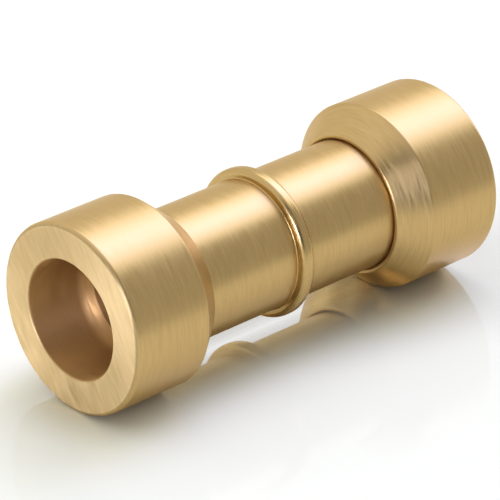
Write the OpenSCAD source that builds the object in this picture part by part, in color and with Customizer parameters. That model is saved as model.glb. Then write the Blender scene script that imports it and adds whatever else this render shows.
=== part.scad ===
// Straight press-ring tube coupling, pre-assembled.
// A one-piece brass sleeve with a stop collar at its middle takes a tube in each end.
// A thick press ring is parked on each end of the sleeve, ready to be pushed to the collar.
// Millimetres. The common axis lies along X, the origin is at the middle of the collar.

/* [Press rings] */
// Outer diameter of a press ring
ring_d = 16; // [15:0.5:18]
// Length of a press ring, from its flat outer face to its mouth
ring_len = 9.75; // [9:0.25:11]
// Length of the cone that leads down to the mouth
cone_len = 2.4; // [1.5:0.1:3]
// Outer diameter of the mouth lip
lip_d = 12; // [12:0.1:12.6]
// Radius on the outer edge of the flat face
face_edge_r = 0.4; // [0.1:0.05:0.8]
// Radius on the edge between the cylinder and the cone
cone_edge_r = 0.2; // [0.1:0.05:0.6]
// Length of the taper inside the mouth that squeezes the sleeve
press_taper_len = 3; // [1:0.5:5]
// How much wider than its straight bore the ring's mouth is, on the radius
mouth_flare = 0.06; // [0.06:0.02:0.3]

/* [Sleeve] */
// Outer diameter of the sleeve
sleeve_d = 11.1; // [10.9:0.1:11.2]
// Overall length of the sleeve
sleeve_len = 39.5; // [36:0.5:44]
// Diameter of the stop collar
collar_d = 12.7; // [12.6:0.1:14]
// Width of the stop collar
collar_w = 1.3; // [1.1:0.1:2.4]
// Radius on the collar's outer edges
collar_edge_r = 0.5; // [0.1:0.05:0.5]
// Radius in the corners between the collar and the sleeve
collar_fillet_r = 0.1; // [0.06:0.02:0.2]

/* [Bores] */
// Diameter of the entry bore at each end of the sleeve
entry_d = 10; // [9.6:0.1:10.2]
// Depth of the entry bore
entry_depth = 5.25; // [4:0.25:7]
// Diameter of the socket that takes the tube
socket_d = 8.1; // [7.6:0.1:8.6]
// Length of the conical shoulder between the entry bore and the socket
shoulder_len = 0.6; // [0.4:0.05:1.2]
// Width of the tube stop at the middle of the sleeve
stop_w = 1.8; // [1.2:0.2:3]
// Diameter of the passage through the tube stop
passage_d = 6; // [4:0.5:7]

/* [Fits] */
// Radial running clearance between a press ring and the sleeve
running_gap = 0.03; // [0.02:0.01:0.08]

/* [Hidden] */

facets = 96;               // any number over 12 gives true curves
small_edge_r = 0.1;        // broken edge on the mouths of the entry bores
ring_r = ring_d / 2;
lip_r = lip_d / 2;
ring_bore_r = sleeve_d / 2 + running_gap;
mouth_r = ring_bore_r + mouth_flare;
mouth_x = sleeve_len / 2 - ring_len;
sleeve_r = sleeve_d / 2;
collar_r = collar_d / 2;
entry_r = entry_d / 2;
socket_r = socket_d / 2;
passage_r = passage_d / 2;
cone_angle = atan2(ring_r - lip_r, cone_len);
// Distance from the edge to where the rounding between cylinder and cone starts
cone_edge_run = cone_edge_r * tan(cone_angle / 2);

// Turns a half profile, drawn with radius along x and length along y, about the X axis
module turned() {
    rotate([0, 90, 0])
        rotate_extrude($fn = facets)
            children();
}

// What a convex corner loses when it is rounded: the corner is at the origin
// and the material is on the side of negative x and negative y
module corner_waste(r) {
    difference() {
        translate([-r, -r]) square([2 * r, 2 * r]);
        translate([-r, -r]) circle(r, $fn = facets);
    }
}

// What a concave corner gains when it is filleted: the material is along
// the negative y side and the negative x side of the origin
module corner_fillet(r) {
    difference() {
        square([r, r]);
        translate([r, r]) circle(r, $fn = facets);
    }
}

// Rounding of the blunt edge where the ring's cylinder meets its cone
module cone_edge_waste() {
    edge_y = mouth_x + cone_len;
    difference() {
        polygon([
            [ring_r + cone_edge_r, edge_y + cone_edge_run],
            [ring_r, edge_y + cone_edge_run],
            [ring_r - cone_edge_run * sin(cone_angle), edge_y - cone_edge_run * cos(cone_angle)],
            [ring_r + cone_edge_r, edge_y - cone_edge_run]
        ]);
        translate([ring_r - cone_edge_r, edge_y + cone_edge_run])
            circle(cone_edge_r, $fn = facets);
    }
}

// Half profile of a press ring: thick wall, cone to the mouth, press taper inside
module ring_profile() {
    face_y = mouth_x + ring_len;
    difference() {
        polygon([
            [mouth_r, mouth_x],
            [lip_r, mouth_x],
            [ring_r, mouth_x + cone_len],
            [ring_r, face_y],
            [ring_bore_r, face_y],
            [ring_bore_r, mouth_x + press_taper_len]
        ]);
        translate([ring_r, face_y]) corner_waste(face_edge_r);
        cone_edge_waste();
    }
}

// Half profile of the sleeve's outside, with its stop collar
module sleeve_outside() {
    translate([0, -sleeve_len / 2]) square([sleeve_r, sleeve_len]);
    for (side = [-1, 1])
        on_side(side) {
            difference() {
                square([collar_r, collar_w / 2]);
                translate([collar_r, collar_w / 2]) corner_waste(collar_edge_r);
            }
            translate([sleeve_r, collar_w / 2]) corner_fillet(collar_fillet_r);
        }
}

// Half profile of everything that is bored out of the sleeve
module sleeve_bores() {
    shoulder_y = sleeve_len / 2 - entry_depth;
    for (side = [-1, 1])
        on_side(side)
            polygon([
                [0, 0],
                [passage_r, 0],
                [passage_r, stop_w / 2],
                [socket_r, stop_w / 2],
                [socket_r, shoulder_y - shoulder_len],
                [entry_r, shoulder_y],
                [entry_r, sleeve_len / 2 - small_edge_r],
                [entry_r + small_edge_r, sleeve_len / 2],
                [0, sleeve_len / 2]
            ]);
}

// Draws its children on the right half of the sleeve for 1, and on the left half for -1
module on_side(side) {
    if (side > 0) children();
    else mirror([0, 1]) children();
}

module joint_body() {
    color([0.76, 0.62, 0.38])
        turned()
            difference() {
                sleeve_outside();
                sleeve_bores();
            }
}

module press_ring() {
    color([0.80, 0.67, 0.44])
        turned() ring_profile();
}

module press_ring_left() {
    mirror([1, 0, 0]) press_ring();
}

module press_ring_right() {
    press_ring();
}

joint_body();
press_ring_left();
press_ring_right();
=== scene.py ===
"""Looks of the straight press-ring tube coupling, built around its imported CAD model."""

import math

import bpy
from mathutils import Matrix, Vector


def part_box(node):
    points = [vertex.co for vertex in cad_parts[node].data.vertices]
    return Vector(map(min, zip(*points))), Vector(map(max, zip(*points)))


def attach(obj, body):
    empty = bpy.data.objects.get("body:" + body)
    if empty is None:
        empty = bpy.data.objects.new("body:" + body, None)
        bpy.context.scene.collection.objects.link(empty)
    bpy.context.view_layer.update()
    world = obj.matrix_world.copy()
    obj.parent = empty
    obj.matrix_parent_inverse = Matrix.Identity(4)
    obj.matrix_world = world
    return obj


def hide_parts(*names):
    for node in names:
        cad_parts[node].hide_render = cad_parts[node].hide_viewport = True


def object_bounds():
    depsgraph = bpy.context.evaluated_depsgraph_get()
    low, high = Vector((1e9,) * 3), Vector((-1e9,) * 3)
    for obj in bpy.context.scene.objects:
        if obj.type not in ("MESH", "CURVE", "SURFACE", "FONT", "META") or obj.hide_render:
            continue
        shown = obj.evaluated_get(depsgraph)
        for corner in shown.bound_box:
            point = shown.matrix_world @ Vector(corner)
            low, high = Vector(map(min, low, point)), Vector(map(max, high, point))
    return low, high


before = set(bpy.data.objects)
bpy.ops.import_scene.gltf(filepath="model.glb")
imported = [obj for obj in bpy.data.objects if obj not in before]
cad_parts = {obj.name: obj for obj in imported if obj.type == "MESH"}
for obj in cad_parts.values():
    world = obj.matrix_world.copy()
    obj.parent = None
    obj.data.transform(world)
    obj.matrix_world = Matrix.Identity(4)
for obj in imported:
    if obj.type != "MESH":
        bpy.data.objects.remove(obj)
CAD_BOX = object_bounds()

# ---------------------------------------------------------------- dimensions
MM = 0.001
_, SLEEVE_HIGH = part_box("joint_body")
RING_LOW, RING_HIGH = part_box("press_ring_right")

SLEEVE_HALF = SLEEVE_HIGH.x              # half of the sleeve's length
COLLAR_R = SLEEVE_HIGH.z                 # the stop collar is the widest part of the sleeve
RING_R = RING_HIGH.z
RING_MOUTH_X = RING_LOW.x
RING_FACE_X = RING_HIGH.x

SLEEVE_R = 5.55 * MM
COLLAR_HALF_W = 0.65 * MM
COLLAR_EDGE = 0.5 * MM
COLLAR_FILLET = 0.1 * MM

ENTRY_R = 5.0 * MM
ENTRY_DEPTH = 5.25 * MM
ENTRY_EDGE = 0.16 * MM
SHOULDER_LEN = 0.6 * MM
SHOULDER_ROUND = 0.9 * MM
SOCKET_R = 4.05 * MM
PASSAGE_R = 3.0 * MM
STOP_HALF_W = 0.9 * MM
INNER_EDGE = 0.12 * MM

RING_BORE_R = 5.58 * MM
FACE_LAND_R = 5.551 * MM                 # the ring's bore closes to this just inside its face
FACE_LAND_LEN = 0.5 * MM
RING_LIP_R = 6.0 * MM
CONE_LEN = 2.4 * MM
PRESS_TAPER_LEN = 3.0 * MM
MOUTH_FLARE = 0.06 * MM
FACE_EDGE = 0.4 * MM
CONE_EDGE = 0.2 * MM
LIP_EDGE = 0.18 * MM

FACE_CROWN = 0.14                        # slope of the hand-finished end faces, in their shading only
BRUSHED = Vector((0, -0.56, -0.83))      # direction of the straight brush marks on the end faces
ACROSS_BRUSHED = Vector((0, 0.83, -0.56))
TURN_STEPS = 256                         # faces round the axis
ARC_STEP = math.radians(9)               # one face for each 9 degrees of a rounded corner


# ---------------------------------------------------------------- turned solids
def unit(vector):
    return vector / vector.length


def rounded_outline(corners):
    """The strips of a closed outline whose corners are rounded.

    corners holds (x, radius, rounding, zone) for each corner, with the material on the left of the
    direction of travel. A zone names the stretch that starts at its corner. Each strip is
    (point, normal, next point, next normal, zone), with the points and normals in the x-radius plane.
    """
    count = len(corners)
    points = [Vector((c[0], c[1])) for c in corners]
    ends = []                            # for each corner: where its rounding starts and ends, and its arc
    for i, (_, _, rounding, _) in enumerate(corners):
        before = unit(points[i] - points[i - 1])
        after = unit(points[(i + 1) % count] - points[i])
        turn = math.atan2(before.x * after.y - before.y * after.x, before.dot(after))
        run = rounding * math.tan(abs(turn) / 2)
        ends.append((points[i] - before * run, points[i] + after * run, before, turn, rounding))

    def outward(direction):
        return Vector((direction.y, -direction.x))

    strips = []
    for i in range(count):
        start, end, before, turn, rounding = ends[i]
        zone_before = corners[i - 1][3]
        zone = corners[i][3]
        if rounding > 0:
            steps = max(3, round(abs(turn) / ARC_STEP))
            side = 1 if turn > 0 else -1
            centre = start - outward(before) * rounding * side
            spokes = []
            for k in range(steps + 1):
                normal = outward(Matrix.Rotation(turn * k / steps, 2) @ before)
                spokes.append((centre + normal * rounding * side, normal))
            for k in range(steps):
                half = zone_before if k < steps / 2 else zone
                strips.append((*spokes[k], *spokes[k + 1], half))
        next_start = ends[(i + 1) % count][0]
        if (next_start - end).length > 1e-9:
            normal = outward(unit(next_start - end))
            if zone == "face":
                normal = unit(normal + Vector((0, FACE_CROWN)))
            strips.append((end, normal, next_start, normal, zone))
    return strips


def turned_solid(name, corners, zones):
    """A closed mesh made by turning an outline about the X axis, with exact normals and a UV map.

    zones lists the zone names in the order of the material slots.
    """
    strips = rounded_outline(corners)
    total = sum((s[2] - s[0]).length for s in strips)
    angles = [2 * math.pi * j / TURN_STEPS for j in range(TURN_STEPS)]

    def spun(point, angle):
        return (point[0], -point[1] * math.cos(angle), point[1] * math.sin(angle))

    vertices = [spun(strip[0], angle) for strip in strips for angle in angles]
    faces = []
    normals = []
    uvs = []
    slots = []
    travelled = 0.0
    for i, (point, normal, next_point, next_normal, zone) in enumerate(strips):
        length = (next_point - point).length
        below = i * TURN_STEPS
        above = ((i + 1) % len(strips)) * TURN_STEPS
        v_low = travelled / total
        v_high = (travelled + length) / total
        for j in range(TURN_STEPS):
            k = (j + 1) % TURN_STEPS
            here = angles[j]
            there = angles[j] + 2 * math.pi / TURN_STEPS
            faces.append((below + j, below + k, above + k, above + j))
            normals += [spun(normal, here), spun(normal, there)]
            normals += [spun(next_normal, there), spun(next_normal, here)]
            u_low = j / TURN_STEPS
            u_high = (j + 1) / TURN_STEPS
            uvs += [(u_low, v_low), (u_high, v_low), (u_high, v_high), (u_low, v_high)]
            slots.append(zones.index(zone))
        travelled += length

    mesh = bpy.data.meshes.new(name)
    mesh.from_pydata(vertices, [], faces)
    mesh.polygons.foreach_set("use_smooth", [True] * len(faces))
    mesh.polygons.foreach_set("material_index", slots)
    layer = mesh.uv_layers.new(name="turned")
    for loop, uv in enumerate(uvs):
        layer.data[loop].uv = uv
    mesh.normals_split_custom_set(normals)
    mesh.validate()
    piece = bpy.data.objects.new(name, mesh)
    bpy.context.scene.collection.objects.link(piece)
    return piece


def mirrored(corners):
    """The same outline for the other end of the coupling, still with the material on the left."""
    count = len(corners)
    flipped = []
    for i in range(count - 1, -1, -1):
        x, radius, rounding, _ = corners[i]
        zone = corners[i - 1][3]         # the stretch that led to this corner now leaves it
        flipped.append((-x, radius, rounding, zone))
    return flipped


def ring_corners():
    """Outline of the right press ring, anticlockwise in the x-radius plane."""
    return [
        (RING_MOUTH_X + PRESS_TAPER_LEN, RING_BORE_R, 0, "bore"),
        (RING_FACE_X - FACE_LAND_LEN, RING_BORE_R, 0, "bore"),
        (RING_FACE_X, FACE_LAND_R, 0, "face"),
        (RING_FACE_X, RING_R, FACE_EDGE, "outside"),
        (RING_MOUTH_X + CONE_LEN, RING_R, CONE_EDGE, "cone"),
        (RING_MOUTH_X, RING_LIP_R, LIP_EDGE, "lip"),
        (RING_MOUTH_X, RING_BORE_R + MOUTH_FLARE, LIP_EDGE, "bore"),
    ]


def half_sleeve_outside():
    """Corners of the sleeve's outside, from its right end to the middle of the collar."""
    return [
        (SLEEVE_HALF, SLEEVE_R, 0, "outside"),
        (COLLAR_HALF_W, SLEEVE_R, COLLAR_FILLET, "collar"),
        (COLLAR_HALF_W, COLLAR_R, COLLAR_EDGE, "collar"),
    ]


def half_sleeve_inside():
    """Corners of the sleeve's bores, from the middle of the tube stop to its right end."""
    shoulder_x = SLEEVE_HALF - ENTRY_DEPTH
    return [
        (STOP_HALF_W, PASSAGE_R, INNER_EDGE, "bore"),
        (STOP_HALF_W, SOCKET_R, 0, "bore"),
        (shoulder_x - SHOULDER_LEN, SOCKET_R, INNER_EDGE, "shoulder"),
        (shoulder_x, ENTRY_R, SHOULDER_ROUND, "entry"),
        (SLEEVE_HALF, ENTRY_R, ENTRY_EDGE, "face"),
    ]


def sleeve_corners():
    """Outline of the whole sleeve, anticlockwise in the x-radius plane."""
    outside = half_sleeve_outside()
    inside = half_sleeve_inside()
    left_outside = [(-x, r, rounding, zone) for x, r, rounding, zone in reversed(outside)]
    left_inside = [(-x, r, rounding, zone) for x, r, rounding, zone in reversed(inside)]
    left_outside = rezoned(left_outside, outside, "face")
    left_inside = rezoned(left_inside, inside, "bore")
    return outside + left_outside + left_inside + inside


def rezoned(flipped, original, last_zone):
    """Gives each corner of a flipped run the zone of the stretch that now leaves it."""
    zones = [corner[3] for corner in reversed(original[:-1])] + [last_zone]
    return [(x, r, rounding, zone) for (x, r, rounding, _), zone in zip(flipped, zones)]


# ---------------------------------------------------------------- materials
# brush marks: their spacing, their length (an angle in radians for turned marks) and the noise's detail
TURNED_FINE = (0.06 * MM, 0.25, 2.0)
TURNED_BROAD = (0.20 * MM, 0.30, 3.0)
STRAIGHT_FINE = (0.14 * MM, 2.0 * MM, 2.0)
STRAIGHT_BROAD = (0.45 * MM, 3.5 * MM, 3.0)
NOISE_MIDDLE = (0.3, 0.7)                # the range that most of a noise's values lie in
MARKS_ROUGHNESS = 0.15                   # share by which the marks vary the roughness, up and down
MARKS_HEIGHT = 0.02 * MM
EDGE_TINT = (0.92, 0.84, 0.72, 1)        # the metal's colour at grazing angles


def node_link(tree, source, target):
    tree.links.new(source, target)


def math_node(tree, operation, first, second):
    """A Math node; each input is a socket or a number."""
    node = tree.nodes.new("ShaderNodeMath")
    node.operation = operation
    for socket, value in zip(node.inputs, (first, second)):
        if isinstance(value, (int, float)):
            socket.default_value = value
        else:
            node_link(tree, value, socket)
    return node.outputs[0]


def vector_node(tree, operation, first, second=None, scale=None):
    """A Vector Math node; first and second are sockets or vectors, and scale is a socket."""
    node = tree.nodes.new("ShaderNodeVectorMath")
    node.operation = operation
    for socket, value in zip(node.inputs, (first, second)):
        if isinstance(value, tuple):
            socket.default_value = value
        elif value is not None:
            node_link(tree, value, socket)
    if scale is not None:
        node_link(tree, scale, node.inputs["Scale"])
    return node.outputs["Value"] if operation == "DOT_PRODUCT" else node.outputs["Vector"]


def turning_marks(tree, pitch, length, detail):
    """Noise in streaks that run round the X axis.

    pitch is the spacing of the streaks across their run, and length their length as an angle in
    radians. The pattern follows cylinders, cones and end faces without a seam.
    """
    place = tree.nodes.new("ShaderNodeTexCoord")
    split = tree.nodes.new("ShaderNodeSeparateXYZ")
    node_link(tree, place.outputs["Object"], split.inputs[0])
    x, y, z = split.outputs
    y_squared = math_node(tree, "MULTIPLY", y, y)
    z_squared = math_node(tree, "MULTIPLY", z, z)
    radius = math_node(tree, "POWER", math_node(tree, "ADD", y_squared, z_squared), 0.5)
    safe_radius = math_node(tree, "MAXIMUM", radius, 0.01 * MM)
    cosine = math_node(tree, "DIVIDE", y, safe_radius)
    sine = math_node(tree, "DIVIDE", z, safe_radius)
    join = tree.nodes.new("ShaderNodeCombineXYZ")
    node_link(tree, math_node(tree, "MULTIPLY", x, 1 / pitch), join.inputs[0])
    node_link(tree, math_node(tree, "MULTIPLY", radius, 1 / pitch), join.inputs[1])
    node_link(tree, math_node(tree, "MULTIPLY", cosine, 1 / length), join.inputs[2])
    noise = tree.nodes.new("ShaderNodeTexNoise")
    noise.noise_dimensions = "4D"
    noise.inputs["Scale"].default_value = 1.0
    noise.inputs["Detail"].default_value = detail
    node_link(tree, join.outputs[0], noise.inputs["Vector"])
    node_link(tree, math_node(tree, "MULTIPLY", sine, 1 / length), noise.inputs["W"])
    return noise.outputs[0]


def straight_marks(tree, pitch, length, detail):
    """Noise in straight streaks along BRUSHED: pitch apart, and about as long as length."""
    place = tree.nodes.new("ShaderNodeTexCoord")
    along = vector_node(tree, "DOT_PRODUCT", place.outputs["Object"], tuple(BRUSHED))
    across = vector_node(tree, "DOT_PRODUCT", place.outputs["Object"], tuple(ACROSS_BRUSHED))
    join = tree.nodes.new("ShaderNodeCombineXYZ")
    node_link(tree, math_node(tree, "MULTIPLY", along, 1 / length), join.inputs[0])
    node_link(tree, math_node(tree, "MULTIPLY", across, 1 / pitch), join.inputs[1])
    noise = tree.nodes.new("ShaderNodeTexNoise")
    noise.inputs["Scale"].default_value = 1.0
    noise.inputs["Detail"].default_value = detail
    node_link(tree, join.outputs[0], noise.inputs["Vector"])
    return noise.outputs[0]


def stretched(tree, value, low, high):
    """Maps the middle range of a noise value to low..high."""
    node = tree.nodes.new("ShaderNodeMapRange")
    node.inputs["From Min"].default_value = NOISE_MIDDLE[0]
    node.inputs["From Max"].default_value = NOISE_MIDDLE[1]
    node.inputs["To Min"].default_value = low
    node.inputs["To Max"].default_value = high
    node_link(tree, value, node.inputs["Value"])
    return node.outputs[0]


def smooth_step(tree, value, low, high):
    """Rises smoothly from 0 at low to 1 at high; falls if low is the larger."""
    node = tree.nodes.new("ShaderNodeMapRange")
    node.interpolation_type = "SMOOTHSTEP"
    node.inputs["From Min"].default_value = low
    node.inputs["From Max"].default_value = high
    node_link(tree, value, node.inputs["Value"])
    return node.outputs[0]


def two_tone(tree, value, dark, light):
    node = tree.nodes.new("ShaderNodeMix")
    node.data_type = "RGBA"
    node.inputs["A"].default_value = (*dark, 1)
    node.inputs["B"].default_value = (*light, 1)
    node_link(tree, value, node.inputs["Factor"])
    return node.outputs["Result"]


def brass(name, dark, light, roughness, anisotropy, relief, straight=False):
    """Brushed brass: fine marks in colour, roughness and relief, round the axis or straight."""
    material = bpy.data.materials.new(name)
    material.use_nodes = True
    tree = material.node_tree
    shader = tree.nodes["Principled BSDF"]
    shader.inputs["Metallic"].default_value = 1.0
    shader.inputs["Anisotropic"].default_value = anisotropy
    shader.inputs["Anisotropic Rotation"].default_value = 0.25
    shader.inputs["Specular Tint"].default_value = EDGE_TINT

    if straight:
        marks_run = tree.nodes.new("ShaderNodeVectorTransform")
        marks_run.convert_from = "OBJECT"
        marks_run.convert_to = "WORLD"
        marks_run.inputs[0].default_value = BRUSHED
        fine = straight_marks(tree, *STRAIGHT_FINE)
        broad = straight_marks(tree, *STRAIGHT_BROAD)
    else:
        marks_run = tree.nodes.new("ShaderNodeTangent")
        marks_run.direction_type = "UV_MAP"
        marks_run.uv_map = "turned"
        fine = turning_marks(tree, *TURNED_FINE)
        broad = turning_marks(tree, *TURNED_BROAD)
    node_link(tree, marks_run.outputs[0], shader.inputs["Tangent"])

    tone = math_node(tree, "ADD", stretched(tree, fine, 0, 0.5), stretched(tree, broad, 0, 0.5))
    node_link(tree, two_tone(tree, tone, dark, light), shader.inputs["Base Color"])
    smoothest = roughness * (1 - MARKS_ROUGHNESS)
    roughest = roughness * (1 + MARKS_ROUGHNESS)
    spread = stretched(tree, tone, smoothest, roughest)
    node_link(tree, spread, shader.inputs["Roughness"])

    bump = tree.nodes.new("ShaderNodeBump")
    bump.inputs["Strength"].default_value = relief
    bump.inputs["Distance"].default_value = MARKS_HEIGHT
    node_link(tree, tone, bump.inputs["Height"])
    node_link(tree, bump.outputs[0], shader.inputs["Normal"])
    return material


def distance_from_coupling(tree, x, y):
    """Distance on the sheet from the coupling's axis, counted shorter towards the right end.

    The mirroring, and the painted shadow next to the coupling where the floor's painted light is left out,
    therefore reach further there.
    """
    past_end = math_node(tree, "SUBTRACT", math_node(tree, "ABSOLUTE", x, 0), AXIS_HALF)
    past_end = math_node(tree, "MAXIMUM", past_end, 0)
    past_end_squared = math_node(tree, "POWER", past_end, 2)
    y_squared = math_node(tree, "MULTIPLY", y, y)
    away = math_node(tree, "POWER", math_node(tree, "ADD", past_end_squared, y_squared), 0.5)
    reach = math_node(tree, "ADD", math_node(tree, "DIVIDE", x, REACH_SLOPE), 1)
    reach = math_node(tree, "MAXIMUM", reach, REACH_LEAST)
    reach = math_node(tree, "MINIMUM", reach, REACH_MOST)
    return math_node(tree, "DIVIDE", away, reach)


def floor_material():
    """White gloss sheet: it gives off a little painted light, left out next to the coupling as a painted
    shadow, and mirrors most there.
    """
    material = bpy.data.materials.new("floor_white_gloss")
    material.use_nodes = True
    tree = material.node_tree
    shader = tree.nodes["Principled BSDF"]
    shader.inputs["Roughness"].default_value = 1.0
    shader.inputs["IOR"].default_value = 1.0
    shader.inputs["Emission Color"].default_value = (1, 1, 1, 1)
    mirror = tree.nodes.new("ShaderNodeBsdfAnisotropic")
    mirror.inputs["Color"].default_value = (1, 1, 1, 1)
    mirror.inputs["Roughness"].default_value = MIRROR_ROUGHNESS
    mix = tree.nodes.new("ShaderNodeMixShader")
    place = tree.nodes.new("ShaderNodeTexCoord")
    split = tree.nodes.new("ShaderNodeSeparateXYZ")
    node_link(tree, place.outputs["Object"], split.inputs[0])
    x, y, _ = split.outputs
    away = distance_from_coupling(tree, x, y)
    sheet = smooth_step(tree, y, *SHEET_END)
    node_link(tree, two_tone(tree, sheet, SHEET_END_COLOUR, SHEET_COLOUR), shader.inputs["Base Color"])

    # painted light: the floor glows, most behind the coupling and not at all next to it, which leaves a
    # painted shadow round the coupling
    painted_light = math_node(tree, "MULTIPLY", smooth_step(tree, away, *PAINTED_LIGHT_RISE), FLOOR_PAINTED_LIGHT)
    painted_light_behind = smooth_step(tree, y, *PAINTED_LIGHT_BEHIND_RISE)
    painted_light_behind = math_node(tree, "MULTIPLY", painted_light_behind, FLOOR_PAINTED_LIGHT_BEHIND)
    painted_light = math_node(tree, "MULTIPLY", math_node(tree, "ADD", painted_light, painted_light_behind), sheet)
    node_link(tree, painted_light, shader.inputs["Emission Strength"])

    near = math_node(tree, "SUBTRACT", 1, math_node(tree, "DIVIDE", away, MIRROR_REACH))
    near = math_node(tree, "POWER", math_node(tree, "MAXIMUM", near, 0), MIRROR_FADE)
    share = math_node(tree, "MULTIPLY", near, MIRROR_NEAR - MIRROR_FAR)
    node_link(tree, math_node(tree, "ADD", share, MIRROR_FAR), mix.inputs[0])
    node_link(tree, shader.outputs[0], mix.inputs[1])
    node_link(tree, mirror.outputs[0], mix.inputs[2])
    output = tree.nodes["Material Output"]
    node_link(tree, mix.outputs[0], output.inputs["Surface"])
    return material


# ---------------------------------------------------------------- the coupling
OUTSIDE = brass(
    "brass_turned", dark=(0.50, 0.335, 0.13), light=(0.65, 0.45, 0.19),
    roughness=0.36, anisotropy=0.60, relief=0.05,
)
END_FACE = brass(
    "brass_faced", dark=(0.49, 0.345, 0.145), light=(0.70, 0.505, 0.235),
    roughness=0.46, anisotropy=0.88, relief=0.12, straight=True,
)
# the bore's brass is more orange and lower in green and blue than the outside's: painted shade, for the
# deeper tone that reflections between its walls give it
BORE = brass(
    "brass_bored", dark=(0.59, 0.345, 0.13), light=(0.65, 0.385, 0.15),
    roughness=0.58, anisotropy=0.85, relief=0.01,
)
COLLAR = brass(
    "brass_collar", dark=(0.50, 0.34, 0.13), light=(0.58, 0.40, 0.165),
    roughness=0.26, anisotropy=0.50, relief=0.02,
)

SLEEVE_ZONES = {
    "outside": OUTSIDE,
    "collar": COLLAR,
    "face": END_FACE,
    "entry": BORE,
    "shoulder": BORE,
    "bore": BORE,
}
RING_ZONES = {
    "outside": OUTSIDE,
    "cone": OUTSIDE,
    "lip": OUTSIDE,
    "face": END_FACE,
    "bore": BORE,
}


def add_piece(name, corners, zones, body, node):
    piece = turned_solid(name, corners, list(zones))
    for material in zones.values():
        piece.data.materials.append(material)
    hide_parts(node)
    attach(piece, body)
    return piece


add_piece("sleeve_turned", sleeve_corners(), SLEEVE_ZONES, "sleeve", "joint_body")
add_piece("ring_turned_right", ring_corners(), RING_ZONES, "ring_right", "press_ring_right")
add_piece(
    "ring_turned_left", mirrored(ring_corners()), RING_ZONES, "ring_left", "press_ring_left"
)


# ---------------------------------------------------------------- studio
FLOOR_SIZE = 3.0                         # in metres, so that its edges stay out of the picture
FLOOR_PAINTED_LIGHT = 0.22                        # painted light that the floor gives off by itself
PAINTED_LIGHT_RISE = (2 * MM, 11 * MM)            # it fades in over these distances from the coupling, so the floor nearer in is a painted shadow
FLOOR_PAINTED_LIGHT_BEHIND = 0.08                 # more painted light behind the coupling
PAINTED_LIGHT_BEHIND_RISE = (2 * MM, 16 * MM)     # which fades in over these values of y
MIRROR_NEAR = 0.8                        # share of the sheet's look that is mirror, next to the coupling
MIRROR_FAR = 0.05
MIRROR_ROUGHNESS = 0.03
MIRROR_REACH = 10 * MM                   # distance from the axis at which only MIRROR_FAR is left
MIRROR_FADE = 2.5                        # how much of the fall lies close to the axis
AXIS_HALF = 16 * MM                      # distances on the floor count from this much of the axis
REACH_SLOPE = 30 * MM                    # they count shorter by 1 + x / REACH_SLOPE, within these limits
REACH_LEAST = 0.9
REACH_MOST = 1.6
SHEET_COLOUR = (0.71, 0.70, 0.54)        # low in blue, as the light is high in it
SHEET_END_COLOUR = (0.5, 0.49, 0.38)
SHEET_END = (-66 * MM, -48 * MM)         # the sheet turns pale grey in front over these values of y
TENT_FRONT = 0.56                        # brightness of the tent, as seen in a mirror
TENT_BACK = 0.98
TENT_FADE = (-0.45, 0.15)                # from front to back, as the direction's y
# overhead panels: what each adds, its two edges as angles round the axis from the front horizon,
# and half the width over which each edge fades
PANELS = [
    ((1.2, 1.3, 1.4), math.radians(65), math.radians(128), math.radians(7)),
    ((0.5, 0.65, 3.0), math.radians(80), math.radians(112), math.radians(14)),
]
PANEL_LEFT_END = (-0.05, 0.30)           # it fades in over these values of the direction's x
# round patches: what each adds or takes away, the direction of its middle, and the angles
# between which it fades out
ROUND_PATCHES = [
    ((12.5, 13.5, 19.0), (-0.96, -0.26, 0.05), math.radians(8), math.radians(17)),
    ((-0.56, -0.56, -0.56), (-0.62, -0.62, 0.36), math.radians(18), math.radians(42)),
    ((1.7, 1.7, 2.1), (-0.64, -0.55, 0.54), math.radians(3), math.radians(9)),
]


def add_floor():
    mesh = bpy.data.meshes.new("floor")
    half = FLOOR_SIZE / 2
    corners = [(-half, -half, 0), (half, -half, 0), (half, half, 0), (-half, half, 0)]
    mesh.from_pydata(corners, [], [(0, 1, 2, 3)])
    floor = bpy.data.objects.new("floor", mesh)
    floor.location = (0, 0, CAD_BOX[0][2])
    mesh.materials.append(floor_material())
    bpy.context.scene.collection.objects.link(floor)


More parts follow.
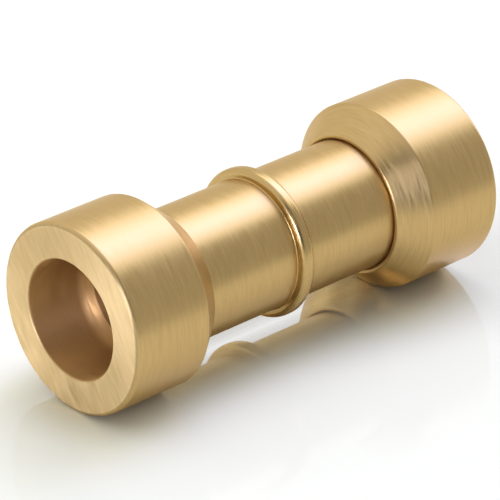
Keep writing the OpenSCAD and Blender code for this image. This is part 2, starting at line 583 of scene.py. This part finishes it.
def add_world():
    """A light tent, dim in front and paler behind, with overhead panels and round patches."""
    world = bpy.data.worlds.new("studio")
    world.use_nodes = True
    tree = world.node_tree
    back = tree.nodes["Background"]
    back.inputs["Strength"].default_value = 1.0
    place = tree.nodes.new("ShaderNodeTexCoord")
    split = tree.nodes.new("ShaderNodeSeparateXYZ")
    node_link(tree, place.outputs["Generated"], split.inputs[0])
    x, y, z = split.outputs

    # height angle round the coupling's axis: 0 at the front horizon, a quarter turn overhead
    climb = math_node(tree, "ARCTAN2", z, math_node(tree, "MULTIPLY", y, -1))
    to_right = smooth_step(tree, x, *PANEL_LEFT_END)

    tent = math_node(tree, "MULTIPLY", smooth_step(tree, y, *TENT_FADE), TENT_BACK - TENT_FRONT)
    light = math_node(tree, "ADD", tent, TENT_FRONT)
    total = vector_node(tree, "SCALE", (1, 1, 1), scale=light)
    for colour, toward, inner, outer in ROUND_PATCHES:
        middle = tuple(unit(Vector(toward)))
        facing = vector_node(tree, "DOT_PRODUCT", place.outputs["Generated"], middle)
        spot = smooth_step(tree, facing, math.cos(outer), math.cos(inner))
        total = vector_node(tree, "ADD", total, vector_node(tree, "SCALE", colour, scale=spot))
    for colour, start, end, soft in PANELS:
        rise = smooth_step(tree, climb, start - soft, start + soft)
        fall = smooth_step(tree, climb, end + soft, end - soft)
        panel = math_node(tree, "MULTIPLY", math_node(tree, "MULTIPLY", rise, fall), to_right)
        total = vector_node(tree, "ADD", total, vector_node(tree, "SCALE", colour, scale=panel))
    node_link(tree, total, back.inputs["Color"])
    bpy.context.scene.world = world


def add_camera():
    """The photograph's viewpoint: a long lens, from the left end and above."""
    heading = math.radians(42.8)
    drop = math.radians(27.1)
    distance = 308.6 * MM
    lens = 275.4
    right_shift = 0.53 * MM
    up_shift = 0.66 * MM
    forward = Vector((
        math.sin(heading) * math.cos(drop),
        math.cos(heading) * math.cos(drop),
        -math.sin(drop),
    ))
    right = unit(forward.cross(Vector((0, 0, 1))))
    up = right.cross(forward)
    lens_data = bpy.data.cameras.new("camera")
    lens_data.lens = lens
    lens_data.sensor_width = 36
    lens_data.clip_start = 0.01
    camera = bpy.data.objects.new("camera", lens_data)
    place = -forward * distance - right * right_shift - up * up_shift
    turn = Matrix((right, up, -forward)).transposed().to_4x4()
    camera.matrix_world = Matrix.Translation(place) @ turn
    bpy.context.scene.collection.objects.link(camera)
    bpy.context.scene.camera = camera


add_floor()
add_world()
add_camera()

scene = bpy.context.scene
scene.view_settings.view_transform = "Standard"
scene.view_settings.look = "None"
